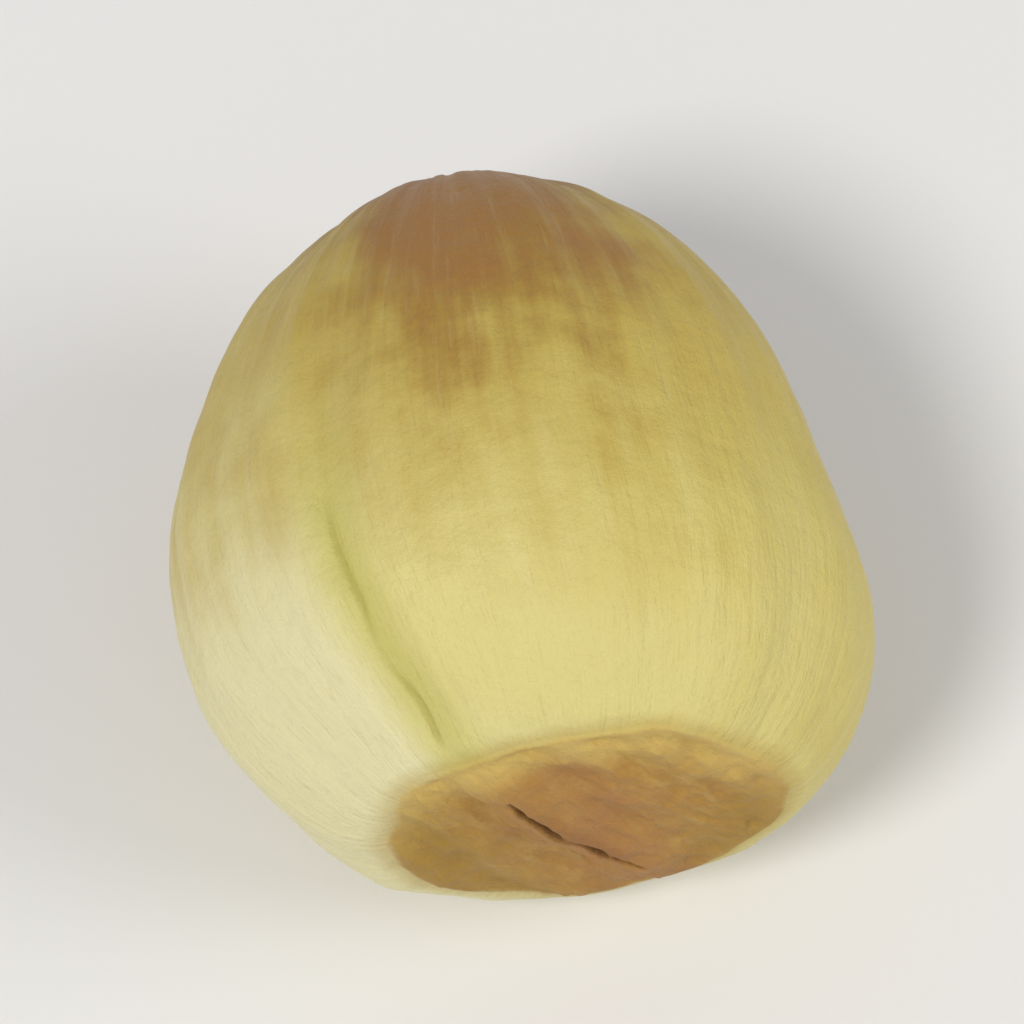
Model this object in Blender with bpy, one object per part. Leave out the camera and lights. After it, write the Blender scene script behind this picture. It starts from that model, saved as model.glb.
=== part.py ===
"""A dried, peeled lotus seed: one solid kernel with its brown tip, mouth, side seams and pore.

Metres, +Z up. The seed lies on its side with its long axis along Y and its brown tip at -Y.
It rests on a small flat spot at z = 0, and the origin is on that surface under its middle.
Inside the functions a point of the skin is given by two angles: polar is the angle from the
tip, and turn goes round the long axis from straight up, positive towards -X.
"""

import math

import bmesh
import bpy
from mathutils import Matrix, Vector

MM = 0.001

# The outline, measured from the widest ring: two half ovals with different reach and fullness,
# and the tip drifts a little towards +X, as no seed is quite even.
GIRTH_RADIUS = 5.8 * MM
TIP_REACH = 5.2 * MM
TIP_FULLNESS = 2.0
PORE_REACH = 7.9 * MM
PORE_FULLNESS = 1.95
TIP_DRIFT = 0.6 * MM

# The brown disc that ends the tip, a little lower than the cream rim round it. The border is
# the share of its radius where the rim starts, and past the reach the disc has no say.
DISC_DISTANCE = 4.0 * MM
DISC_RADIUS = 3.6 * MM
DISC_STEP = 0.12 * MM
DISC_DOME = 0.24 * MM
DISC_BORDER = 0.9
DISC_REACH = math.radians(70)
RIM_ROUNDING = 0.5 * MM
LEAST_SLOPE = 0.05
DISC_EDGE_WAVES = ((2, 0.03, 0.4), (5, 0.02, 1.9), (9, 0.012, 4.0))

# The mouth: a slit across the disc, in the plane where the two halves of the kernel meet.
# The lips reach a share of its length to either side of its middle.
MOUTH_LENGTH = 4.2 * MM
MOUTH_WIDTH = 0.3 * MM
MOUTH_DEPTH = 0.9 * MM
MOUTH_BOW = 0.14 * MM
LIP_HEIGHT = 0.15 * MM
LIP_SPREAD = 0.6 * MM
LIP_REACH = 0.6
FOLD_DEPTH = 0.045 * MM
FOLD_SPACING = 1.5 * MM

# The seams: a groove down each side, from the brown disc most of the way to the pore. One
# shoulder is lower than the other: it drops close to the groove and evens out away from it.
SEAM_TURN = math.radians(33)
SEAM_WAVER = math.radians(2.5)
SEAM_PACE = 2.4
SEAM_DEPTH = 0.2 * MM
SEAM_SPREAD = 0.55 * MM
SEAM_START = math.radians(42)
SEAM_RAMP = math.radians(16)
SEAM_FADE = math.radians(102)
SEAM_END = math.radians(150)
SHOULDER_DEPTH = 0.08 * MM
SHOULDER_DROP = (-0.3 * MM, 0.5 * MM)
SHOULDER_EVENS = (0.8 * MM, 4.0 * MM)

# The pore at the other end, left where the bitter germ was pushed out, and the nub round it.
PORE_WIDTH = 0.7 * MM
PORE_LENGTH = 1.05 * MM
PORE_DEPTH = 1.2 * MM
NUB_HEIGHT = 0.12 * MM
NUB_RADIUS = 1.1 * MM

# Relief of the dried skin, as (waves round, height, phase) and (round, along, height, phase).
# The flutes are faint at the girth, strongest towards the pore, and end at the disc.
FLUTES = ((13, 0.05 * MM, 0.7), (21, 0.03 * MM, 2.1), (8, 0.06 * MM, 5.2))
FLUTES_PAST_DISC = (math.radians(40), math.radians(50))
FLUTES_LEAVE_TIP = (math.radians(40), math.radians(75))
FLUTES_NEAR_PORE = (math.radians(95), math.radians(145))
GIRTH_FLUTING = 0.2
TIP_FLUTING = 0.4
DENTS = ((2, 3, 0.1 * MM, 0.6), (3, 2, 0.08 * MM, 2.6), (5, 4, 0.03 * MM, 4.4))

# How it lies: the pore end hangs a little, so that the weight is over the flat spot.
REST_TILT = math.radians(4.0)
FLAT_SPOT_CUT = 0.2 * MM

# The mesh: its meridians crowd towards the seams, and one ring follows the edge of the disc.
MERIDIANS = 84
SEAM_CROWDING = 0.35
DISC_RINGS = 13
BODY_RINGS = 37
SHARP_ANGLE = math.radians(40)

# The holes' cutters taper: their inner and outer radii as shares of the hole's width.
CUTTER_SIDES = 24
CUTTER_TAPER = (0.25, 0.75)

# Materials, as name, colour and roughness, and the numbers of the two on the skin.
DRIED_CREAM = ("dried_cream", (0.70, 0.61, 0.24), 0.55)
BROWN_TIP_SKIN = ("brown_tip_skin", (0.38, 0.21, 0.06), 0.75)
DARK_INSIDE = ("dark_inside", (0.07, 0.035, 0.02), 0.8)
CREAM, BROWN = 0, 1


def clear_scene():
    """Removes whatever the file holds, so that only the seed is left at the end."""
    for obj in list(bpy.data.objects):
        bpy.data.objects.remove(obj, do_unlink=True)


def smooth_step(low, high, value):
    """0 below low, 1 above high, and an S-shaped ramp between them."""
    share = min(1.0, max(0.0, (value - low) / (high - low)))
    return share * share * (3 - 2 * share)


def lesser(first, second, rounding):
    """The smaller of two lengths, with the corner where they cross rounded off."""
    nearness = max(rounding - abs(first - second), 0.0) / rounding
    return min(first, second) - nearness * nearness * rounding / 4


def body_reach(polar):
    """Distance from the centre to the plain egg-shaped outline."""
    towards_tip = math.cos(polar) > 0
    reach = TIP_REACH if towards_tip else PORE_REACH
    fullness = TIP_FULLNESS if towards_tip else PORE_FULLNESS
    along = (abs(math.cos(polar)) / reach) ** fullness
    across = (math.sin(polar) / GIRTH_RADIUS) ** fullness
    return (along + across) ** (-1 / fullness)


def disc_edge(turn):
    """Radius of the brown disc's uneven edge."""
    return DISC_RADIUS * (1 + sum(a * math.cos(n * turn + p) for n, a, p in DISC_EDGE_WAVES))


def disc_edge_polar(turn):
    """Angle from the tip to the brown disc's edge."""
    return math.atan2(disc_edge(turn), DISC_DISTANCE)


def disc_height(polar, turn):
    """Height of the brown disc above the widest ring: domed, with lips and folds at the mouth."""
    radius = DISC_DISTANCE * math.tan(min(polar, DISC_REACH))
    edge = disc_edge(turn)
    inside = 1 - smooth_step(DISC_BORDER * edge, edge, radius)
    dome = DISC_DOME * max(0.0, 1 - (radius / edge) ** 2)
    from_mouth = radius * math.sin(turn - SEAM_TURN)
    along_mouth = radius * math.cos(turn - SEAM_TURN) / (LIP_REACH * MOUTH_LENGTH)
    lips = LIP_HEIGHT * math.exp(-((from_mouth / LIP_SPREAD) ** 2) - along_mouth**4)
    folds = FOLD_DEPTH * math.cos(math.tau * from_mouth / FOLD_SPACING)
    return DISC_DISTANCE + inside * (dome + lips + folds - DISC_STEP)


def seam_turn(polar):
    """Where the seam is at a distance from the tip: it wavers a little on its way."""
    off_disc = smooth_step(SEAM_START, SEAM_START + SEAM_RAMP, polar)
    return SEAM_TURN - SEAM_WAVER * off_disc * math.cos(SEAM_PACE * polar)


def seam_relief(polar, turn):
    """The groove along each seam, with one shoulder of it lower than the other."""
    strength = smooth_step(SEAM_START, SEAM_START + SEAM_RAMP, polar)
    strength *= 1 - smooth_step(SEAM_FADE, SEAM_END, polar)
    offset = math.remainder(turn - seam_turn(polar), math.pi)
    distance = offset * GIRTH_RADIUS * math.sin(polar)
    groove = SEAM_DEPTH * math.exp(-((distance / SEAM_SPREAD) ** 2))
    shoulder = SHOULDER_DEPTH * smooth_step(*SHOULDER_DROP, distance)
    shoulder *= 1 - smooth_step(*SHOULDER_EVENS, distance)
    return -strength * (groove + shoulder)


def skin_relief(polar, turn):
    """Flutes that run lengthwise near the ends, and broad shallow dents."""
    past_disc = smooth_step(*FLUTES_PAST_DISC, polar)
    near_tip = 1 - smooth_step(*FLUTES_LEAVE_TIP, polar)
    near_pore = smooth_step(*FLUTES_NEAR_PORE, polar)
    strength = (GIRTH_FLUTING + TIP_FLUTING * near_tip + near_pore) * past_disc * math.sin(polar) ** 2
    flutes = sum(a * math.cos(n * turn + p + polar) for n, a, p in FLUTES)
    dents = sum(a * math.cos(n * turn + p) * math.sin(m * polar + p) for n, m, a, p in DENTS)
    return strength * flutes + dents * math.sin(polar) ** 2


def nub_relief(polar):
    """The slight nub that the pore goes into."""
    if polar < math.pi / 2:
        return 0.0
    radius = PORE_REACH * math.sin(polar)
    return NUB_HEIGHT * math.exp(-((radius / NUB_RADIUS) ** 2))


def skin_point(polar, turn):
    """A point of the skin, with the seed's axis level and its centre at the widest ring."""
    body = body_reach(polar) + seam_relief(polar, turn)
    body += skin_relief(polar, turn) + nub_relief(polar)
    slope = max(math.cos(polar), LEAST_SLOPE)
    reach = lesser(body, disc_height(polar, turn) / slope, RIM_ROUNDING)
    along = reach * math.cos(polar)
    out = reach * math.sin(polar)
    drift = TIP_DRIFT * smooth_step(-0.5 * DISC_DISTANCE, DISC_DISTANCE, along)
    return Vector((drift - out * math.sin(turn), -along, out * math.cos(turn)))


def mesh_angles(ring, meridian):
    """Polar and turn of a point of the mesh.

    The ring numbered DISC_RINGS is the disc's edge, and meridian 0 follows the first seam.
    """
    even = math.tau * meridian / MERIDIANS
    crowded = even - SEAM_CROWDING * math.sin(2 * even) / 2
    edge = disc_edge_polar(SEAM_TURN + crowded)
    if ring <= DISC_RINGS:
        return edge * ring / DISC_RINGS, SEAM_TURN + crowded
    polar = edge + (math.pi - edge) * (ring - DISC_RINGS) / BODY_RINGS
    return polar, seam_turn(polar) + crowded


def plain_material(name, colour, roughness):
    """A Principled BSDF of one colour."""
    material = bpy.data.materials.new(name)
    material.use_nodes = True
    shader = material.node_tree.nodes["Principled BSDF"]
    shader.inputs["Base Color"].default_value = (*colour, 1.0)
    shader.inputs["Roughness"].default_value = roughness
    shader.inputs["Metallic"].default_value = 0.0
    return material


def shape_skin(bm):
    """Moves the points of a ball onto the seed's skin and marks the faces of the disc."""
    rings = DISC_RINGS + BODY_RINGS
    bmesh.ops.create_uvsphere(bm, u_segments=MERIDIANS, v_segments=rings, radius=1.0)
    for face in bm.faces:
        polar = math.acos(face.calc_center_median().normalized().z)
        face.material_index = BROWN if polar < math.pi * DISC_RINGS / rings else CREAM
    for vertex in bm.verts:
        ring = round(rings * math.acos(max(-1.0, min(1.0, vertex.co.z))) / math.pi)
        meridian = round(MERIDIANS * math.atan2(vertex.co.y, vertex.co.x) / math.tau)
        vertex.co = skin_point(*mesh_angles(ring, meridian))


def cut_flat_spot(bm):
    """Slices off the lowest sliver of the seed and closes the cut with one flat face."""
    floor = min(v.co.z for v in bm.verts) + FLAT_SPOT_CUT
    sliced = bmesh.ops.bisect_plane(
        bm,
        geom=list(bm.verts) + list(bm.edges) + list(bm.faces),
        plane_co=(0, 0, floor),
        plane_no=(0, 0, -1),
        clear_outer=True,
    )
    border = [e for e in sliced["geom_cut"] if isinstance(e, bmesh.types.BMEdge)]
    bmesh.ops.contextual_create(bm, geom=border)


def stand_at_origin(bm):
    """Moves the seed so that its box is centred over the origin with its foot at z = 0.

    It returns that move.
    """
    low = Vector([min(v.co[i] for v in bm.verts) for i in range(3)])
    high = Vector([max(v.co[i] for v in bm.verts) for i in range(3)])
    move = Vector((-(low.x + high.x) / 2, -(low.y + high.y) / 2, -low.z))
    bmesh.ops.translate(bm, verts=bm.verts, vec=move)
    return Matrix.Translation(move)


def linked_object(name, bm):
    """A new object with the mesh that bm holds, its faces turned outwards."""
    bmesh.ops.recalc_face_normals(bm, faces=bm.faces)
    mesh = bpy.data.meshes.new(name)
    bm.to_mesh(mesh)
    bm.free()
    obj = bpy.data.objects.new(name, mesh)
    bpy.context.scene.collection.objects.link(obj)
    return obj


def make_seed():
    """The seed, and the matrix that takes the level, centred seed to where it rests."""
    bm = bmesh.new()
    shape_skin(bm)
    attitude = Matrix.Rotation(REST_TILT, 4, "X")
    bmesh.ops.transform(bm, matrix=attitude, verts=bm.verts)
    cut_flat_spot(bm)
    move = stand_at_origin(bm)
    seed = linked_object("seed", bm)
    seed.data.materials.append(plain_material(*DRIED_CREAM))
    seed.data.materials.append(plain_material(*BROWN_TIP_SKIN))
    seed.data.shade_smooth()
    seed.data.set_sharp_from_angle(angle=SHARP_ANGLE)
    return seed, move @ attitude


def cut_oval_hole(seed, name, size, bow, seat, material):
    """Cuts a tapered oval hole of the length, width and depth that size gives.

    The cutter is a cone that reaches as far above the skin as below it. Its long way is
    along X and its outer end at +Z before seat puts it on the seed. The bow bends it in Y.
    """
    length, width, depth = size
    inner, outer = CUTTER_TAPER
    bm = bmesh.new()
    bmesh.ops.create_cone(
        bm,
        cap_ends=True,
        segments=CUTTER_SIDES,
        radius1=inner * width,
        radius2=outer * width,
        depth=2 * depth,
    )
    for vertex in bm.verts:
        vertex.co.y += bow * (1 - (vertex.co.x / width) ** 2)
        vertex.co.x *= length / width
    bmesh.ops.transform(bm, matrix=seat, verts=bm.verts)
    cutter = linked_object(name, bm)
    cutter.data.materials.append(material)
    cutter.hide_render = True
    cutter.display_type = "WIRE"
    modifier = seed.modifiers.new(name, "BOOLEAN")
    modifier.operation = "DIFFERENCE"
    modifier.solver = "EXACT"
    modifier.material_mode = "TRANSFER"
    modifier.object = cutter


def open_mouth(seed, rest, material):
    """The slit across the brown disc, in line with the seams."""
    skin = DISC_DISTANCE + DISC_DOME + LIP_HEIGHT - DISC_STEP
    face_tip = Matrix.Rotation(math.radians(90), 4, "X")
    along_seams = Matrix.Rotation(math.radians(90) - SEAM_TURN, 4, "Y")
    seat = rest @ Matrix.Translation((TIP_DRIFT, -skin, 0)) @ along_seams @ face_tip
    size = (MOUTH_LENGTH, MOUTH_WIDTH, MOUTH_DEPTH)
    cut_oval_hole(seed, "mouth_cutter", size, MOUTH_BOW, seat, material)


def open_pore(seed, rest, material):
    """The oval hole in the nub at the other end, its long way across the seams."""
    skin = PORE_REACH + NUB_HEIGHT
    face_pore = Matrix.Rotation(math.radians(-90), 4, "X")
    across_seams = Matrix.Rotation(-SEAM_TURN, 4, "Y")
    seat = rest @ Matrix.Translation((0, skin, 0)) @ across_seams @ face_pore
    size = (PORE_LENGTH, PORE_WIDTH, PORE_DEPTH)
    cut_oval_hole(seed, "pore_cutter", size, 0.0, seat, material)


def main():
    clear_scene()
    seed, rest = make_seed()
    inside = plain_material(*DARK_INSIDE)
    open_mouth(seed, rest, inside)
    open_pore(seed, rest, inside)


main()
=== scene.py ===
import math

import bpy
import numpy as np
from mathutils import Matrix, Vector


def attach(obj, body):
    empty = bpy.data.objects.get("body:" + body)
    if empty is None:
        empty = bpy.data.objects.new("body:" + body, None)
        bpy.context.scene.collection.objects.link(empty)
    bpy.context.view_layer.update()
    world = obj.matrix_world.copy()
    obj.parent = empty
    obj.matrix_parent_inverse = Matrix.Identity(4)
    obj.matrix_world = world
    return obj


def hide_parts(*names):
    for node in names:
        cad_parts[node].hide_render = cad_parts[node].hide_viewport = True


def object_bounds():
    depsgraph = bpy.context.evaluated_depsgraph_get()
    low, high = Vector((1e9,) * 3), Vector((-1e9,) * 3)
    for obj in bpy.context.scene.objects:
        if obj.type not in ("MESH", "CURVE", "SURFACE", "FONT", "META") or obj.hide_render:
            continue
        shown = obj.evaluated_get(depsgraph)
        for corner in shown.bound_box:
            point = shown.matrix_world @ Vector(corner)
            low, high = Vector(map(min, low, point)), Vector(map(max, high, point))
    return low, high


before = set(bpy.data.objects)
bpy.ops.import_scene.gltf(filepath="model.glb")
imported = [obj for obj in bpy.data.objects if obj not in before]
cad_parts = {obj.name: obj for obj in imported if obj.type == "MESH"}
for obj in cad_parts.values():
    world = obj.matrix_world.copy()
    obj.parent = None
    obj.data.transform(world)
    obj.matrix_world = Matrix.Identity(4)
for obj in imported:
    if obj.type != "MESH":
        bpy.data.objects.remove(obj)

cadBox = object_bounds()
mm = 0.001
degree = math.radians(1)

# A point of the skin is given by two angles, as whole arrays: polar is the angle from the brown
# tip, and turn goes round the long axis from straight up, positive towards -X. A pair of values is
# where something starts and where it is full. Waves are (how many round the seed, height, phase),
# and dents have how many along it as their second number.

kernelShape = {
    "girthRadius": 5.8 * mm,
    "tipReach": 5.2 * mm,
    "tipFullness": 2.0,
    "poreReach": 7.9 * mm,
    "poreFullness": 1.95,
    "tipDrift": 0.6 * mm,
    "driftStart": -0.5,                  # as a share of the disc's distance
    "restTilt": 4.0 * degree,
    "flatSpotCut": 0.2 * mm,
    "dents": ((2, 3, 0.1 * mm, 0.6), (3, 2, 0.08 * mm, 2.6), (5, 4, 0.03 * mm, 4.4)),
    "flutes": ((13, 0.05 * mm, 0.7), (21, 0.03 * mm, 2.1), (8, 0.06 * mm, 5.2)),
    "flutesPastDisc": (40 * degree, 50 * degree),
    "flutesLeaveTip": (40 * degree, 75 * degree),
    "flutesNearPore": (95 * degree, 145 * degree),
    "girthFluting": 0.2,
    "tipFluting": 0.4,
    "nubHeight": 0.12 * mm,
    "nubRadius": 1.1 * mm,
}

discShape = {
    "distance": 4.0 * mm,
    "radius": 3.6 * mm,
    "step": 0.12 * mm,
    "dome": 0.24 * mm,
    "border": 0.9,                       # the share of the radius where the rim begins
    "reach": 70 * degree,                # the disc's plane is followed up to this angle
    "leastSlope": 0.05,
    "rimRounding": 0.5 * mm,
    "edgeWaves": ((2, 0.03, 0.4), (5, 0.02, 1.9), (9, 0.012, 4.0)),
}

mouthShape = {
    "length": 4.2 * mm,
    "width": 0.15 * mm,
    "endWidth": 0.35,                    # as a share of the width
    "edgeSteepness": 2.6,
    "depth": 0.4 * mm,
    "bow": 0.14 * mm,
    "waver": ((0.7 * mm, 0.04 * mm, 48),),
    "lipHeight": 0.15 * mm,
    "lipSpread": 0.6 * mm,
    "lipReach": 0.6,                     # as a share of the length
    "foldDepth": 0.045 * mm,
    "foldSpacing": 1.5 * mm,
}

seamShape = {
    "turn": 33 * degree,
    "waver": 2.5 * degree,
    "pace": 2.4,
    "depth": 0.2 * mm,
    "spread": 0.55 * mm,
    "start": 42 * degree,
    "ramp": 16 * degree,
    "fade": 102 * degree,
    "end": 150 * degree,
    "shoulder": 0.08 * mm,
    "shoulderDrop": (-0.3 * mm, 0.5 * mm),
    "shoulderEvens": (0.8 * mm, 4.0 * mm),
}

poreShape = {
    "width": 0.7 * mm,
    "length": 1.05 * mm,
    "depth": 1.2 * mm,
    "edge": (0.55, 1.12),                # as shares of the oval
    "edgeWaves": ((5, 0.08, 0.0), (9, 0.05, 1.0)),
    "pucker": 0.03 * mm,
    "puckers": 11,
    "puckersStart": (2.8, 3.0),
}

meshGrid = {
    "meridians": 340,
    "discRings": 88,
    "bodyRings": 154,
    "poreRings": 38,
    "seamCrowding": 0.45,
    "edgeCrowding": 0.75,
    "poreEdge": 168 * degree,
    "poleAngle": 1e-6,
    "restSteps": 721,
}


def smoothStep(low, high, value):
    # 0 below low, 1 above high, 3s^2 - 2s^3 between
    share = np.clip((value - low) / (high - low), 0.0, 1.0)
    return share * share * (3 - 2 * share)


def lesser(first, second, rounding):
    # the smaller of two, with the corner where they cross rounded off
    nearness = np.maximum(rounding - np.abs(first - second), 0.0) / rounding
    return np.minimum(first, second) - nearness * nearness * rounding / 4


def bell(value, spread):
    # exp(-(value / spread)^2)
    return np.exp(-((value / spread) ** 2))


def waves(turn, settings):
    # a sum of cosines round the seed
    return sum(height * np.cos(number * turn + phase) for number, height, phase in settings)


def plainReach(polar):
    # distance from the centre to a half oval: (cos/reach)^n + (sin/girth)^n = 1 / distance^n
    towardsTip = np.cos(polar) > 0
    reach = np.where(towardsTip, kernelShape["tipReach"], kernelShape["poreReach"])
    fullness = np.where(towardsTip, kernelShape["tipFullness"], kernelShape["poreFullness"])
    along = (np.abs(np.cos(polar)) / reach) ** fullness
    across = (np.sin(polar) / kernelShape["girthRadius"]) ** fullness
    return (along + across) ** (-1 / fullness)


def discEdge(turn):
    # the disc's radius with a few waves round its edge
    return discShape["radius"] * (1 + waves(turn, discShape["edgeWaves"]))


def discSlope(polar):
    # the cosine that turns a height above the disc into reach, kept away from 0
    return np.maximum(np.cos(polar), discShape["leastSlope"])


def seamTurn(polar):
    # the seam's turn wavers as a cosine of the distance from the tip
    offDisc = smoothStep(seamShape["start"], seamShape["start"] + seamShape["ramp"], polar)
    return seamShape["turn"] - seamShape["waver"] * offDisc * np.cos(seamShape["pace"] * polar)


def fromSeam(polar, turn):
    # distance across the skin to the nearer seam, signed
    offset = np.remainder(turn - seamTurn(polar) + math.pi / 2, math.pi) - math.pi / 2
    return offset * kernelShape["girthRadius"] * np.sin(polar)


def seamRelief(polar, turn):
    # a bell-shaped groove, and a shoulder that is lower on one side
    s = seamShape
    strength = smoothStep(s["start"], s["start"] + s["ramp"], polar)
    strength = strength * (1 - smoothStep(s["fade"], s["end"], polar))
    distance = fromSeam(polar, turn)
    shoulder = s["shoulder"] * smoothStep(*s["shoulderDrop"], distance)
    shoulder = shoulder * (1 - smoothStep(*s["shoulderEvens"], distance))
    return -strength * (s["depth"] * bell(distance, s["spread"]) + shoulder)


def skinRelief(polar, turn):
    # lengthwise flutes, weak at the girth, and broad dents; both scale with the square of the sine
    k = kernelShape
    nearPore = smoothStep(*k["flutesNearPore"], polar)
    nearTip = 1 - smoothStep(*k["flutesLeaveTip"], polar)
    offDisc = smoothStep(*k["flutesPastDisc"], polar)
    strength = (k["girthFluting"] + nearPore + k["tipFluting"] * nearTip) * offDisc * np.sin(polar) ** 2
    flutes = sum(a * np.cos(n * turn + p + polar) for n, a, p in k["flutes"])
    dents = sum(a * np.cos(n * turn + p) * np.sin(m * polar + p) for n, m, a, p in k["dents"])
    return strength * flutes + dents * np.sin(polar) ** 2


def nubRelief(polar):
    # a low bell round the pore
    radius = kernelShape["poreReach"] * np.sin(polar)
    height = kernelShape["nubHeight"] * bell(radius, kernelShape["nubRadius"])
    return np.where(polar > math.pi / 2, height, 0.0)


def discPlace(polar, turn):
    # a point of the disc as radius, distance across the mouth and distance along it
    radius = discShape["distance"] * np.tan(np.minimum(polar, discShape["reach"]))
    angle = turn - seamShape["turn"]
    return radius, radius * np.sin(angle), radius * np.cos(angle)


def discHeight(polar, turn):
    # a shallow dome below the rim, lips along the mouth and folds beside them
    radius, across, along = discPlace(polar, turn)
    edge = discEdge(turn)
    inside = 1 - smoothStep(discShape["border"] * edge, edge, radius)
    dome = discShape["dome"] * np.maximum(0.0, 1 - (radius / edge) ** 2)
    m = mouthShape
    lipEnds = np.exp(-((along / (m["lipReach"] * m["length"])) ** 4))
    lips = m["lipHeight"] * bell(across, m["lipSpread"]) * lipEnds
    folds = m["foldDepth"] * np.cos(math.tau * across / m["foldSpacing"])
    return discShape["distance"] + inside * (dome + lips + folds - discShape["step"])


def plainSkin(polar, turn):
    # the large forms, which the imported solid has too
    body = plainReach(polar) + seamRelief(polar, turn) + skinRelief(polar, turn) + nubRelief(polar)
    return lesser(body, discHeight(polar, turn) / discSlope(polar), discShape["rimRounding"])


def toPoints(reach, polar, turn):
    # angles and reach to X, Y, Z on the level seed, with the tip's sideways drift
    along = reach * np.cos(polar)
    out = reach * np.sin(polar)
    start = kernelShape["driftStart"] * discShape["distance"]
    drift = kernelShape["tipDrift"] * smoothStep(start, discShape["distance"], along)
    return np.stack([drift - out * np.sin(turn), -along, out * np.cos(turn)], axis=-1)


def restMove():
    # the turn and the shift that lay the level seed on its flat spot, with its box over the origin
    steps = meshGrid["restSteps"]
    angles = np.linspace(0, math.pi, steps), np.linspace(0, math.tau, steps)
    polar, turn = np.meshgrid(*angles, indexing="ij")
    c, s = math.cos(kernelShape["restTilt"]), math.sin(kernelShape["restTilt"])
    tilt = np.array([[1, 0, 0], [0, c, -s], [0, s, c]])
    points = toPoints(plainSkin(polar, turn), polar, turn).reshape(-1, 3) @ tilt.T
    low, high = points.min(axis=0), points.max(axis=0)
    floor = low[2] + kernelShape["flatSpotCut"]
    return tilt, np.array([-(low[0] + high[0]) / 2, -(low[1] + high[1]) / 2, -floor])


def skinGrid():
    # the angles of the mesh: rings crowd at the disc's edge and the pore, meridians at the seams
    g = meshGrid
    even = np.linspace(0, math.tau, g["meridians"], endpoint=False)
    crowded = even - g["seamCrowding"] * np.sin(2 * even) / 2
    edge = np.arctan2(discEdge(seamShape["turn"] + crowded), discShape["distance"])
    share = np.linspace(0, 1, g["discRings"] + 1)[1:, None]
    disc = (share + g["edgeCrowding"] * share * (1 - share) ** 2) * edge[None, :]
    share = np.linspace(0, 1, g["bodyRings"] + 1)[1:, None]
    share = share - g["edgeCrowding"] * share * (1 - share) ** 4
    body = edge[None, :] + share * (g["poreEdge"] - edge)[None, :]
    share = np.linspace(0, 1, g["poreRings"] + 1)[1:-1, None]
    pore = g["poreEdge"] + share * (math.pi - g["poreEdge"])
    polar = np.concatenate([disc, body, pore + 0 * crowded[None, :]])
    return polar, seamTurn(polar) + crowded[None, :]


print("stage 1: large forms are set")

# Fine forms, which only the finished surface has. Noises are (spacing of bumps, height, seed).

noiseShape = {"waves": 28, "pace": (0.6, 1.5), "spread": 1.6}

fleshRelief = {
    "lumps": ((2.1 * mm, 0.030 * mm, 21), (0.85 * mm, 0.013 * mm, 22), (0.38 * mm, 0.0055 * mm, 23)),
    "facets": ((7, 0.040 * mm, 2.3), (11, 0.024 * mm, 0.4)),
    "facetBend": 0.5,
    "grainPace": 0.12,
    "streaks": ((0.17, 0.014 * mm, 31), (0.075, 0.008 * mm, 32)),
    "shrink": ((0.26, 0.030 * mm, 33), (0.12, 0.014 * mm, 34)),
    "shrinkRamp": (85 * degree, 150 * degree),
    "pits": 110,
    "pitSeed": 51,
    "pitPolar": (0.8, 2.9),
    "pitRadius": (0.06 * mm, 0.17 * mm),
    "pitDepth": 0.020 * mm,
    "pastDisc": (39 * degree, 47 * degree),
    "nearPore": (2.98, 3.1),
}

crackShape = {
    "depth": 0.07 * mm,
    "width": 0.10 * mm,
    "pace": 6.0,
    "wander": ((0.9, 0.08 * mm, 11),),
    "opening": 0.6,
    "openingNoise": ((1.3, 0.5, 12),),
    "opensPastDisc": (0.02, 0.16),
    "closing": 0.7,
    "end": 112 * degree,
}

tipSkin = {
    "thickness": 0.035 * mm,
    "edgeSoftness": 0.16 * mm,
    "creep": 0.15 * mm,
    "creepTurn": -78 * degree,
    "shrink": 0.38 * mm,
    "shrinkTurn": 135 * degree,
    "sidePower": 3,
    "ragged": ((0.55, 0.055 * mm, 44), (0.20, 0.028 * mm, 45), (0.085, 0.014 * mm, 46)),
    "raggedPace": 0.1,
    "wrinkles": ((0.95 * mm, 0.050 * mm, 41), (0.42 * mm, 0.032 * mm, 42), (0.2 * mm, 0.012 * mm, 47)),
    "wrinkleStretch": 0.35,
    "lipLumps": ((0.8 * mm, 0.035 * mm, 49),),
    "lipSpread": 0.9 * mm,
    "net": ((0.33 * mm, 0.010 * mm, 63),),
    "spokes": ((0.14, 0.016 * mm, 61), (0.06, 0.008 * mm, 62)),
    "spokesStart": (0.35, 0.85),         # as shares of the disc's radius
    "detailFade": 0.45 * mm,
}


def softNoise(points, size, seed):
    # a sum of plane waves in random directions, about one bump for each size; roughly -1 to 1
    count = noiseShape["waves"]
    draw = np.random.default_rng(seed)
    heading = draw.normal(size=(count, 3))
    heading /= np.linalg.norm(heading, axis=1)[:, None]
    pace = draw.uniform(*noiseShape["pace"], count) * math.tau / (2 * size)
    phase = draw.uniform(0, math.tau, count)
    angles = np.tensordot(points, (heading * pace[:, None]).T, axes=1) + phase
    return np.cos(angles).sum(axis=-1) * math.sqrt(2 / count) / noiseShape["spread"]


def ridged(points, size, seed):
    # sharp creases between soft folds: 1 - 2 |noise|
    return 1 - 2 * np.abs(softNoise(points, size, seed))


def noises(points, settings, form=softNoise):
    # a sum of noises, each times its height
    return sum(height * form(points, size, seed) for size, height, seed in settings)


def roundPoints(turn, lift):
    # points on a circle, lifted off it, for noise that goes round the seed
    return np.stack([np.cos(turn), np.sin(turn), lift + 0 * turn], axis=-1)


def flatPoints(first, second):
    # points of a plane, for noise that runs along a line
    return np.stack([first, second, 0 * first], axis=-1)


def grainPoints(polar, turn):
    # points whose noise runs lengthwise and gathers at both ends, as the seed's grain does
    return roundPoints(turn, fleshRelief["grainPace"] * polar)


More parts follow.
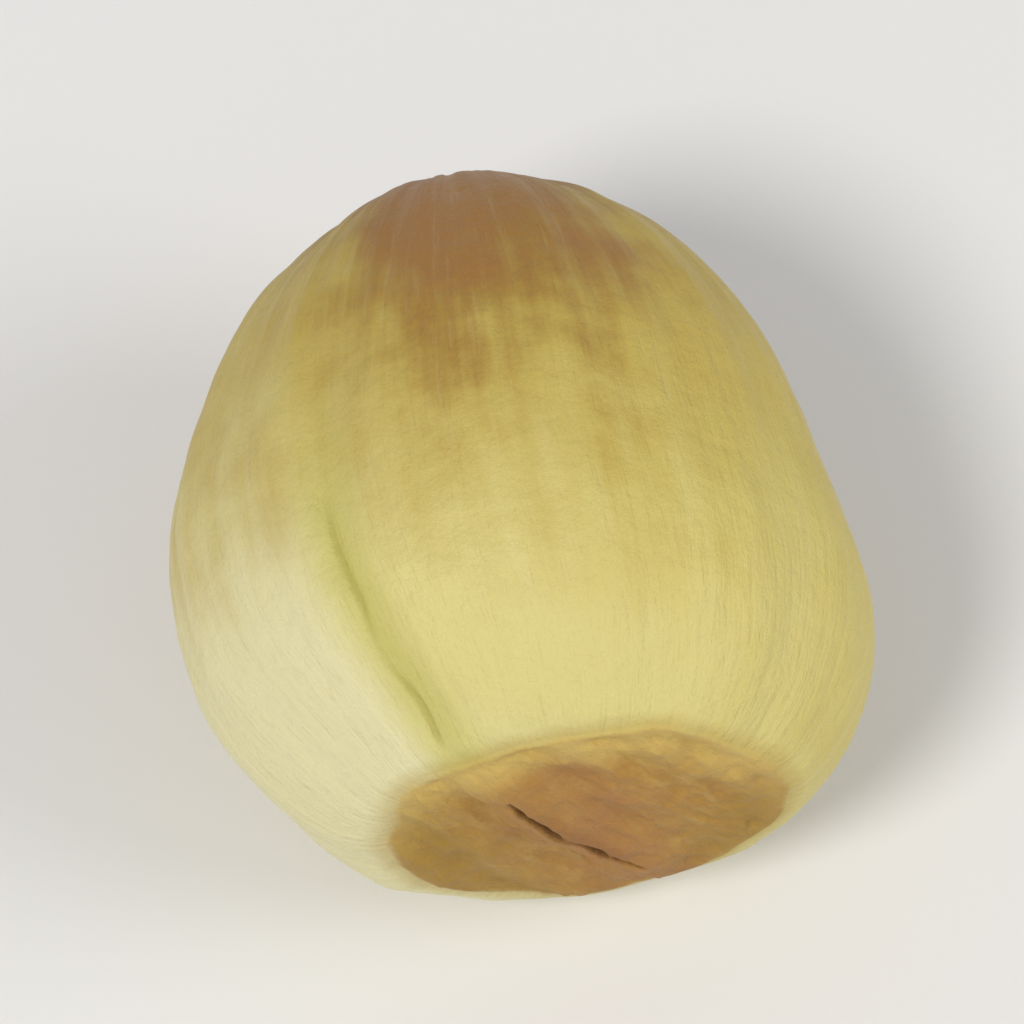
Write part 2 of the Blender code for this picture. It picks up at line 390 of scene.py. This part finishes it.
def crackStrength(polar, turn):
    # a thin bell-shaped line that wanders along the seam and opens and closes, 0 to 1
    c = crackShape
    here = flatPoints(c["pace"] * polar, np.cos(turn - seamShape["turn"]))
    opening = c["opening"] + noises(here, c["openingNoise"])
    low, high = c["opensPastDisc"]
    opening = opening * smoothStep(seamShape["start"] + low, seamShape["start"] + high, polar)
    opening = opening * (1 - smoothStep(c["end"] - c["closing"], c["end"], polar))
    distance = fromSeam(polar, turn) - noises(here, c["wander"])
    return np.clip(opening, 0, 1) * bell(distance, c["width"])


def fleshDetail(polar, turn, points):
    # lumps, soft lengthwise facets that lean over, streaks, creases that deepen towards the pore,
    # and bell-shaped pits; all of them fade at the disc and at the pore
    f = fleshRelief
    grain = grainPoints(polar, turn)
    bend = f["facetBend"] * np.sin(2 * polar)
    facets = sum(a * np.cos(n * turn + bend + p) for n, a, p in f["facets"])
    height = noises(points, f["lumps"]) + facets * np.sin(polar) + noises(grain, f["streaks"])
    height = height + smoothStep(*f["shrinkRamp"], polar) * noises(grain, f["shrink"], ridged)
    draw = np.random.default_rng(f["pitSeed"])
    pitPolar = draw.uniform(*f["pitPolar"], f["pits"])
    pitTurn = draw.uniform(0, math.tau, f["pits"])
    pitRadius = draw.uniform(*f["pitRadius"], f["pits"])
    centres = toPoints(plainSkin(pitPolar, pitTurn), pitPolar, pitTurn)
    for centre, radius in zip(centres, pitRadius):
        height = height - f["pitDepth"] * np.exp(-((points - centre) ** 2).sum(axis=-1) / radius**2)
    return smoothStep(*f["pastDisc"], polar) * (1 - smoothStep(*f["nearPore"], polar)) * height


def oneSide(turn, middle):
    # 1 at one turn and 0 opposite: (1/2 + 1/2 cos)^power
    return (0.5 + 0.5 * np.cos(turn - middle)) ** tipSkin["sidePower"]


def tipInside(polar, turn):
    # how far a point is inside the brown skin's ragged edge; the skin creeps past the disc's
    # edge on one side and stops short of it on another
    t = tipSkin
    radius, _, _ = discPlace(polar, turn)
    creep = t["creep"] * oneSide(turn, t["creepTurn"])
    shrink = t["shrink"] * oneSide(turn, t["shrinkTurn"])
    ragged = noises(roundPoints(turn, t["raggedPace"] * polar), t["ragged"])
    return discEdge(turn) + creep - shrink + ragged - radius


def mouthOpening(polar, turn):
    # a thin lens-shaped slit, bowed and wavering, 1 in its middle and 0 outside
    m = mouthShape
    _, across, along = discPlace(polar, turn)
    share = np.clip(1 - (2 * along / m["length"]) ** 2, 0, 1)
    waver = noises(flatPoints(along, 0 * along), m["waver"])
    middle = m["bow"] * share + waver * np.sqrt(share)
    half = 0.5 * m["width"] * (m["endWidth"] + (1 - m["endWidth"]) * share)
    return np.sqrt(share) * np.exp(-(np.abs((across - middle) / half) ** m["edgeSteepness"]))


def tipDetail(polar, turn, points):
    # the brown skin's thickness, folds along the mouth, a net of creases, lumpy lips, and
    # wrinkles that point outwards; all but the thickness fades at its edge
    t = tipSkin
    radius, across, along = discPlace(polar, turn)
    inside = tipInside(polar, turn)
    on = smoothStep(-0.5 * t["edgeSoftness"], 0.5 * t["edgeSoftness"], inside)
    wrinkles = noises(flatPoints(across, t["wrinkleStretch"] * along), t["wrinkles"], ridged)
    lips = noises(points, t["lipLumps"]) * bell(across, t["lipSpread"])
    net = noises(points, t["net"], ridged)
    spokes = noises(roundPoints(turn, 0), t["spokes"])
    spokes = spokes * smoothStep(*t["spokesStart"], radius / discEdge(turn))
    fade = smoothStep(0.0, t["detailFade"], inside)
    return on * (t["thickness"] + fade * (wrinkles + lips + net + spokes))


def poreHollow(polar, turn):
    # an oval well at the far pole with a ragged edge: 1 inside, 0 outside
    radius = kernelShape["poreReach"] * np.sin(polar)
    angle = turn - seamShape["turn"]
    along = radius * np.sin(angle) / (0.5 * poreShape["length"])
    across = radius * np.cos(angle) / (0.5 * poreShape["width"])
    oval = np.hypot(along, across) * (1 + waves(turn, poreShape["edgeWaves"]))
    return np.where(polar > math.pi / 2, 1 - smoothStep(*poreShape["edge"], oval), 0.0)


def fineSkin(polar, turn):
    # the large forms with the fine ones, the mouth and the pore; reach from the centre
    p = poreShape
    plain = plainSkin(polar, turn)
    points = toPoints(plain, polar, turn)
    tip = tipDetail(polar, turn, points) - mouthShape["depth"] * mouthOpening(polar, turn)
    crack = crackShape["depth"] * crackStrength(polar, turn)
    reach = plain + fleshDetail(polar, turn, points) + tip / discSlope(polar) - crack
    well = poreHollow(polar, turn)
    puckers = p["pucker"] * np.cos(p["puckers"] * turn) * smoothStep(*p["puckersStart"], polar)
    return reach - well * p["depth"] + puckers * (1 - well) * np.sin(polar)


def ringQuads(rings):
    # quads between closed rings of point numbers
    beside = np.roll(rings, -1, axis=1)
    return np.stack([rings[:-1], rings[1:], beside[1:], beside[:-1]], axis=-1).reshape(-1, 4)


def fan(centre, ring):
    # triangles from one point to a closed ring
    return np.stack([np.full(len(ring), centre), ring, np.roll(ring, -1)], axis=-1)


def meshFrom(name, points, quads, triangles):
    # an object at the origin, smooth, with its place in its mesh
    mesh = bpy.data.meshes.new(name)
    mesh.vertices.add(len(points))
    mesh.vertices.foreach_set("co", points.astype(np.float32).ravel())
    corners = np.concatenate([quads.ravel(), triangles.ravel()]).astype(np.int32)
    mesh.loops.add(len(corners))
    mesh.loops.foreach_set("vertex_index", corners)
    starts = [np.arange(len(quads)) * 4, quads.size + np.arange(len(triangles)) * 3]
    mesh.polygons.add(len(quads) + len(triangles))
    mesh.polygons.foreach_set("loop_start", np.concatenate(starts).astype(np.int32))
    mesh.update(calc_edges=True)
    mesh.shade_smooth()
    piece = bpy.data.objects.new(name, mesh)
    bpy.context.scene.collection.objects.link(piece)
    return piece


def addAttribute(piece, name, values):
    # one number or one vector for each point
    kind, field = ("FLOAT_VECTOR", "vector") if values.ndim == 2 else ("FLOAT", "value")
    attribute = piece.data.attributes.new(name, kind, "POINT")
    attribute.data.foreach_set(field, values.astype(np.float32).ravel())


tipInsideLimits = (-3, 4)                # in millimetres
halvesMeet = (-1 / 12, 1 / 12)


def skinMasks(polar, turn):
    # what the material reads at each point; lengths are in millimetres
    _, across, along = discPlace(polar, turn)
    return {
        "tipInside": np.clip(tipInside(polar, turn) / mm, *tipInsideLimits),
        "acrossMouth": across / mm,
        "alongMouth": along / mm,
        "mouth": mouthOpening(polar, turn),
        "seam": np.abs(fromSeam(polar, turn)) / mm,
        "crack": crackStrength(polar, turn),
        "pore": poreHollow(polar, turn),
        "reach": polar / math.pi,
        "firstHalf": smoothStep(*halvesMeet, np.sin(turn - seamTurn(polar)) * np.sin(polar)),
        "grain": grainPoints(polar, turn),
    }


def makeKernel():
    # the skin's grid with a point at each pole, laid on its flat spot; masks go in as attributes
    polarGrid, turnGrid = skinGrid()
    pole = meshGrid["poleAngle"]
    polar = np.append(polarGrid.ravel(), [pole, math.pi - pole])
    turn = np.append(turnGrid.ravel(), [seamShape["turn"], seamShape["turn"]])
    tilt, move = restMove()
    points = toPoints(fineSkin(polar, turn), polar, turn) @ tilt.T + move
    points[:, 2] = np.maximum(points[:, 2], 0.0)
    rings = np.arange(polarGrid.size).reshape(polarGrid.shape)
    atPore = fan(polarGrid.size + 1, rings[-1])[:, [1, 0, 2]]
    ends = np.concatenate([fan(polarGrid.size, rings[0]), atPore])
    kernel = meshFrom("kernel", points, ringQuads(rings), ends)
    for name, values in skinMasks(polar, turn).items():
        addAttribute(kernel, name, values)
    return kernel


kernel = makeKernel()
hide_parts("seed")
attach(kernel, "root")
print("stage 2: kernel mesh,", len(kernel.data.polygons), "faces")


def place(tree, socket, value):
    # links a socket to another, or sets its own value
    if isinstance(value, bpy.types.NodeSocket):
        tree.links.new(value, socket)
    elif socket.type == "RGBA":
        socket.default_value = (*value, 1.0)
    else:
        socket.default_value = value


def node(tree, kind, settings=None, inputs=None):
    # a shader node with its settings, and its inputs set or linked
    made = tree.nodes.new(kind)
    for name, value in (settings or {}).items():
        setattr(made, name, value)
    for name, value in (inputs or {}).items():
        place(tree, made.inputs[name], value)
    return made


def mask(tree, name):
    # one of the kernel's attributes
    return node(tree, "ShaderNodeAttribute", {"attribute_name": name}).outputs["Fac"]


def reckon(tree, operation, first, second=0.0):
    # one step of arithmetic with two values
    made = node(tree, "ShaderNodeMath", {"operation": operation})
    place(tree, made.inputs[0], first)
    place(tree, made.inputs[1], second)
    return made.outputs[0]


def ramp(tree, value, low, high, start=0.0, end=1.0):
    # an S-shaped ramp: start where the value is low, end where it is high
    settings = {"interpolation_type": "SMOOTHSTEP", "clamp": True}
    inputs = {"Value": value, "From Min": low, "From Max": high, "To Min": start, "To Max": end}
    return node(tree, "ShaderNodeMapRange", settings, inputs).outputs["Result"]


def blend(tree, share, first, second):
    # the first colour, with a share of the second
    made = node(tree, "ShaderNodeMix", {"data_type": "RGBA"})
    place(tree, made.inputs[0], share)
    place(tree, made.inputs[6], first)
    place(tree, made.inputs[7], second)
    return made.outputs[2]


def weighed(tree, values, weights):
    # a sum of named values, each times its weight
    total = None
    for name, weight in weights.items():
        part = values[name] if weight == 1.0 else reckon(tree, "MULTIPLY", values[name], weight)
        total = part if total is None else reckon(tree, "ADD", part, total)
    return total


def layered(tree, colour, look, values, layers):
    # colours laid on one another, each where its weighed values pass its range, up to its most
    for name, weights, (low, high), most in layers:
        share = ramp(tree, weighed(tree, values, weights), low, high, 0.0, most)
        colour = blend(tree, share, colour, look[name])
    return colour


mottleStart = {"Scale": 100.0, "Detail": 3.0, "Roughness": 0.55}
mottleSpread = (0.25, 0.75)


def mottleGroup():
    # noise of the given scale, spread so that it runs evenly from -1 to 1
    group = bpy.data.node_groups.new("mottle", "ShaderNodeTree")
    group.interface.new_socket("Vector", in_out="INPUT", socket_type="NodeSocketVector")
    for name, value in mottleStart.items():
        made = group.interface.new_socket(name, in_out="INPUT", socket_type="NodeSocketFloat")
        made.default_value = value
    group.interface.new_socket("Value", in_out="OUTPUT", socket_type="NodeSocketFloat")
    given = group.nodes.new("NodeGroupInput")
    inputs = {name: given.outputs[name] for name in ("Vector", *mottleStart)}
    noise = node(group, "ShaderNodeTexNoise", None, inputs).outputs["Fac"]
    low, high = mottleSpread
    spread = {"Value": noise, "From Min": low, "From Max": high, "To Min": -1.0, "To Max": 1.0}
    even = node(group, "ShaderNodeMapRange", {"clamp": True}, spread).outputs["Result"]
    group.links.new(even, group.nodes.new("NodeGroupOutput").inputs["Value"])
    return group


# Patterns are (coordinates, scale, detail, roughness). A layer is (colour, weights of what it
# depends on, range, most), and the layers are laid on in this order.

patterns = {
    "cloud": ("position", 330.0, 3.0, 0.55),
    "patch": ("position", 900.0, 4.0, 0.55),
    "streak": ("grain", 7.0, 5.0, 0.6),
    "fibre": ("grain", 30.0, 4.0, 0.6),
    "veins": ("grain", 11.0, 2.0, 0.5),
    "blotch": ("position", 700.0, 4.0, 0.6),
    "fine": ("drawn", 3.2, 4.0, 0.62),
    "frayed": ("position", 1700.0, 4.0, 0.65),
    "crinkle": ("position", 2800.0, 4.0, 0.68),
}

directions = {
    "top": (0.72, 1.0),
    "drawnOut": 0.3,
    "up": {"alongMouth": 0.84, "acrossMouth": -0.54},
    "right": {"alongMouth": -0.54, "acrossMouth": -0.84},
    "middle": 0.5,
    "inside": {"tipInside": 1.0, "frayed": 0.10},
}

fleshLook = {
    "pale": (0.74, 0.685, 0.385),
    "cream": (0.66, 0.575, 0.215),
    "yellow": (0.60, 0.49, 0.120),
    # ochre, amber and rose: partly the seed's own colour towards the pore, partly painted shade there
    # and on the upper side
    "ochre": (0.48, 0.335, 0.062),
    "amber": (0.33, 0.175, 0.026),
    "rose": (0.36, 0.165, 0.045),
    "green": (0.56, 0.51, 0.125),
    # painted shade in the crack, with a greenish tint
    "crack": (0.44, 0.38, 0.075),
    "vein": (0.48, 0.31, 0.08),
    "veinWidth": (0.05, 0.0),
    "veinPlaces": (-0.1, 0.5),
    "veinMost": 0.16,
    "greenSeam": {"seam": 1.0, "patch": 0.14},
    "greenWidth": (0.95, 0.05),
    "greenLength": (0.66, 0.45),
    "greenMost": 0.75,
}

# The weights for the left side make the flesh paler and less yellow there: a painted highlight.
paleness = {"firstHalf": 0.75, "leftHighlight": 0.3, "reach": -2.5, "cloud": 0.18, "fibre": 0.05}
yellowness = {"reach": 2.2, "leftHighlight": -0.45, "cloud": 0.28, "streak": 0.16}
# Ochre, amber and rose darken the flesh towards the pore, partly its own tone and partly painted shade,
# and on its upper side, which is painted shade.
ochreness = {"reach": 3.0, "topShade": 0.25, "cloud": 0.30, "patch": 0.12, "streak": 0.18}
amberness = {"reach": 3.2, "topShade": 0.60, "cloud": 0.28, "patch": 0.24, "streak": 0.32}
rosiness = {"reach": 3.0, "topShade": 0.6, "cloud": 0.60, "streak": 0.26}
fleshLayers = (
    ("pale", paleness, (-0.80, 0.05), 1.0),
    ("yellow", yellowness, (0.55, 1.75), 1.0),
    ("ochre", ochreness, (1.35, 2.60), 0.9),
    ("amber", amberness, (2.40, 3.30), 0.95),
    ("rose", rosiness, (2.45, 3.35), 0.75),
    ("ochre", {"fibre": 1.0}, (0.25, 1.0), 0.06),
    ("pale", {"fibre": 1.0}, (-0.2, -1.0), 0.10),
)
crackAndPore = (
    # the crack is painted darker: painted shade in its groove
    ("crack", {"crack": 1.0}, (0.15, 0.95), 0.6),
    ("amber", {"reach": 1.0, "patch": 0.006, "streak": 0.006}, (0.925, 0.985), 0.75),
)
stainRoundTip = (("ochre", {"inside": 1.0}, (-0.60, 0.0), 0.55),)

tipLook = {
    "tan": (0.40, 0.215, 0.042),
    "light": (0.57, 0.40, 0.11),
    "ochre": (0.35, 0.205, 0.032),
    "red": (0.37, 0.165, 0.052),
    # painted shade in the crevice along the mouth
    "creviceShade": (0.18, 0.072, 0.024),
    # painted shade inside the mouth and the pore
    "hollowShade": (0.11, 0.046, 0.018),
    # the rim is light at the skin's edge and lightest along its upper edge, a painted highlight there
    "rim": {"inside": 1.0, "blotch": 0.30, "up": -0.22},
    "rimWidth": (1.05, -0.35),
    "rimUpward": (-0.5, 2.0),
    "rimLeast": 0.35,
    "crevice": {"fromMouth": -1.0, "fine": 0.08},
    "creviceWidth": (-0.30, -0.05),
    "creviceLength": (2.2, 0.9),
    "creviceMost": 0.35,
}

redness = {"fromMouth": -0.30, "fromMiddle": -0.25, "blotch": 0.32, "fine": 0.14}
tipLayers = (
    ("light", {"fine": 1.0}, (-0.4, 1.0), 0.5),
    # ochre at the skin's sides and in blotches is its own tone; the extra ochre low down is painted
    # shade
    ("ochre", {"fromMiddle": 0.5, "up": -0.25, "blotch": 0.40}, (0.6, 1.7), 0.85),
    ("red", redness, (-0.95, 0.10), 0.8),
)

surface = {
    "skinEdge": (-0.10, 0.16),
    "mouthEdge": (0.15, 0.7),
    "poreEdge": (0.3, 0.9),
    "roughness": (0.40, 0.54),
    "skinRougher": 0.14,
    "specular": 0.30,
    "bump": 0.03 * mm,
    "fleshBumps": {"crinkle": 0.50, "fibre": 0.45},
    "skinBumps": {"crinkle": 0.40, "fine": 0.9},
}


def kernelValues(tree):
    # masks, directions on the seed and on its disc, and patterns, by name
    names = ("reach", "firstHalf", "seam", "crack", "pore", "mouth")
    values = {name: mask(tree, name) for name in names + ("tipInside", "acrossMouth", "alongMouth")}
    grain = node(tree, "ShaderNodeAttribute", {"attribute_name": "grain"}).outputs["Vector"]
    sides = node(tree, "ShaderNodeSeparateXYZ", None, {"Vector": grain}).outputs
    # the upper side, used to paint shade there
    values["topShade"] = ramp(tree, sides["X"], *directions["top"])
    # the left side, used to paint a highlight there
    values["leftHighlight"] = sides["Y"]
    along = reckon(tree, "MULTIPLY", values["alongMouth"], directions["drawnOut"])
    stretched = {"X": values["acrossMouth"], "Y": along}
    coordinates = {
        "position": node(tree, "ShaderNodeTexCoord").outputs["Object"],
        "grain": grain,
        "drawn": node(tree, "ShaderNodeCombineXYZ", None, stretched).outputs[0],
    }
    mottle = mottleGroup()
    for name, (where, scale, detail, roughness) in patterns.items():
        inputs = {"Vector": coordinates[where], "Scale": scale, "Detail": detail, "Roughness": roughness}
        values[name] = node(tree, "ShaderNodeGroup", {"node_tree": mottle}, inputs).outputs["Value"]
    for name in ("up", "right", "inside"):
        values[name] = weighed(tree, values, directions[name])
    offMiddle = reckon(tree, "SUBTRACT", values["right"], directions["middle"])
    values["fromMiddle"] = reckon(tree, "ABSOLUTE", offMiddle)
    values["fromMouth"] = reckon(tree, "ABSOLUTE", values["acrossMouth"])
    return values


def fleshColour(tree, values):
    # cream that turns yellow, ochre, amber and rose towards the pore, partly its own tone and partly
    # painted shade, with painted shade on its upper side and a painted highlight on its left side; thin
    # veins where it is patchy, a green tinge along the seam, and the crack, darkened as painted shade
    look = fleshLook
    colour = layered(tree, look["cream"], look, values, fleshLayers)
    vein = ramp(tree, reckon(tree, "ABSOLUTE", values["veins"]), *look["veinWidth"])
    sparse = ramp(tree, values["patch"], *look["veinPlaces"], 0.0, look["veinMost"])
    colour = blend(tree, reckon(tree, "MULTIPLY", vein, sparse), colour, look["vein"])
    seam = weighed(tree, values, look["greenSeam"])
    green = ramp(tree, seam, *look["greenWidth"], 0.0, look["greenMost"])
    green = reckon(tree, "MULTIPLY", green, ramp(tree, values["reach"], *look["greenLength"]))
    colour = blend(tree, green, colour, look["green"])
    return layered(tree, colour, look, values, crackAndPore)


def tipColour(tree, values):
    # papery tan with streaks along the mouth, reddish beside it and to its right, ochre at its sides
    # and, as painted shade, low down, lighter along its upper edge as a painted highlight, and darker
    # in the crevice as painted shade
    look = tipLook
    colour = layered(tree, look["tan"], look, values, tipLayers)
    # the light rim, lightest along the upper edge: partly the thin skin's own tone, partly a painted
    # highlight
    rim = ramp(tree, weighed(tree, values, look["rim"]), *look["rimWidth"])
    upper = ramp(tree, values["up"], *look["rimUpward"], look["rimLeast"], 1.0)
    colour = blend(tree, reckon(tree, "MULTIPLY", rim, upper), colour, look["light"])
    # the crevice along the mouth is darkened: painted shade
    fromEnds = reckon(tree, "ABSOLUTE", values["alongMouth"])
    fromEnds = ramp(tree, fromEnds, *look["creviceLength"], 0.0, look["creviceMost"])
    crevice = ramp(tree, weighed(tree, values, look["crevice"]), *look["creviceWidth"])
    return blend(tree, reckon(tree, "MULTIPLY", crevice, fromEnds), colour, look["creviceShade"])


def makeKernelMaterial():
    # flesh, with the brown skin over it up to its frayed edge, and painted shade in the mouth and pore
    material = bpy.data.materials.new("driedKernel")
    material.use_nodes = True
    tree = material.node_tree
    shader = tree.nodes["Principled BSDF"]
    values = kernelValues(tree)
    values["onSkin"] = ramp(tree, values["inside"], *surface["skinEdge"])
    stained = layered(tree, fleshColour(tree, values), fleshLook, values, stainRoundTip)
    colour = blend(tree, values["onSkin"], stained, tipColour(tree, values))
    # the mouth and the pore are painted dark: painted shade inside the hollows
    openMouth = ramp(tree, values["mouth"], *surface["mouthEdge"])
    hollowShade = reckon(tree, "MAXIMUM", openMouth, ramp(tree, values["pore"], *surface["poreEdge"]))
    place(tree, shader.inputs["Base Color"], blend(tree, hollowShade, colour, tipLook["hollowShade"]))
    values["waxiness"] = ramp(tree, values["streak"], -1.0, 1.0, *surface["roughness"])
    roughness = weighed(tree, values, {"onSkin": surface["skinRougher"], "waxiness": 1.0})
    place(tree, shader.inputs["Roughness"], roughness)
    height = node(tree, "ShaderNodeMix", {"data_type": "FLOAT"})
    place(tree, height.inputs[0], values["onSkin"])
    place(tree, height.inputs[2], weighed(tree, values, surface["fleshBumps"]))
    place(tree, height.inputs[3], weighed(tree, values, surface["skinBumps"]))
    inputs = {"Strength": 1.0, "Distance": surface["bump"], "Height": height.outputs[0]}
    place(tree, shader.inputs["Normal"], node(tree, "ShaderNodeBump", None, inputs).outputs[0])
    shader.inputs["Specular IOR Level"].default_value = surface["specular"]
    return material


kernel.data.materials.append(makeKernelMaterial())
print("stage 3: material of the kernel")

stage = {
    "floorColour": (0.80, 0.79, 0.775),
    "floorRoughness": 0.85,
    "floorSpecular": 0.2,
    "firstRing": 0.004,
    "flatRadius": 0.34,
    "coveRadius": 0.22,
    "rounds": 96,
    "flatRings": 24,
    "coveRings": 24,
    "worldColour": (0.92, 0.94, 1.0),
    "worldStrength": 0.44,
}

lamps = {
    "key": {
        "from": (-0.46, -0.46, 0.90),
        "away": 0.50,
        "size": 0.14,
        "watts": 1.20,
        "colour": (1.0, 0.98, 0.94),
    },
    "fill": {
        "from": (0.80, -0.30, 0.75),
        "away": 0.55,
        "size": 0.30,
        "watts": 0.90,
        "colour": (1.0, 0.99, 0.96),
    },
}

cameraSet = {
    "azimuth": -7.0 * degree,
    "elevation": 62.0 * degree,
    "lens": 300.0,
    "frameWidth": 17.6 * mm,
    "clip": (0.001, 10.0),
}


def makeFloor():
    # a flat disc whose border curves up: a profile of radius and height turned round Z
    s = stage
    sweep = np.linspace(0, math.pi / 2, s["coveRings"] + 1)[1:]
    flat = np.geomspace(s["firstRing"], s["flatRadius"], s["flatRings"])
    coved = s["flatRadius"] + s["coveRadius"] * np.sin(sweep)
    radius = np.append(flat, coved)[:, None]
    rise = np.append(0 * flat, s["coveRadius"] * (1 - np.cos(sweep)))[:, None]
    turn = np.linspace(0, math.tau, s["rounds"], endpoint=False)[None, :]
    points = np.stack([radius * np.cos(turn), radius * np.sin(turn), rise + 0 * turn], axis=-1)
    points = np.append(points.reshape(-1, 3), [[0.0, 0.0, 0.0]], axis=0)
    rings = np.arange(len(points) - 1).reshape(-1, s["rounds"])
    floor = meshFrom("floor", points, ringQuads(rings), fan(len(points) - 1, rings[0]))
    material = bpy.data.materials.new("paleFloor")
    material.use_nodes = True
    shader = material.node_tree.nodes["Principled BSDF"]
    shader.inputs["Base Color"].default_value = (*s["floorColour"], 1.0)
    shader.inputs["Roughness"].default_value = s["floorRoughness"]
    shader.inputs["Specular IOR Level"].default_value = s["floorSpecular"]
    floor.data.materials.append(material)


def makeLights():
    # round lamps that face the origin, a pale sky, and colours shown as they are
    for name, lamp in lamps.items():
        light = bpy.data.lights.new(name, "AREA")
        light.shape = "DISK"
        light.size = lamp["size"]
        light.energy = lamp["watts"]
        light.color = lamp["colour"]
        stand = bpy.data.objects.new(name, light)
        bpy.context.scene.collection.objects.link(stand)
        heading = Vector(lamp["from"]).normalized()
        stand.location = heading * lamp["away"]
        stand.rotation_mode = "QUATERNION"
        stand.rotation_quaternion = heading.to_track_quat("Z", "Y")
        stand.visible_camera = False
    world = bpy.data.worlds.new("studio")
    world.use_nodes = True
    sky = world.node_tree.nodes["Background"]
    sky.inputs["Color"].default_value = (*stage["worldColour"], 1.0)
    sky.inputs["Strength"].default_value = stage["worldStrength"]
    bpy.context.scene.world = world
    bpy.context.scene.view_settings.view_transform = "Standard"


def makeCamera():
    # a long lens that looks down on the middle of the seed's box
    data = bpy.data.cameras.new("camera")
    data.lens = cameraSet["lens"]
    data.clip_start, data.clip_end = cameraSet["clip"]
    camera = bpy.data.objects.new("camera", data)
    bpy.context.scene.collection.objects.link(camera)
    low, high = cadBox
    azimuth, elevation = cameraSet["azimuth"], cameraSet["elevation"]
    level = Vector((math.sin(azimuth), -math.cos(azimuth), 0.0))
    back = level * math.cos(elevation) + Vector((0, 0, math.sin(elevation)))
    away = cameraSet["frameWidth"] * data.lens / data.sensor_width
    camera.location = (Vector(low) + Vector(high)) / 2 + back * away
    camera.rotation_mode = "QUATERNION"
    camera.rotation_quaternion = back.to_track_quat("Z", "Y")
    bpy.context.scene.camera = camera


makeFloor()
makeLights()
makeCamera()
print("stage 4: floor, lights and camera")
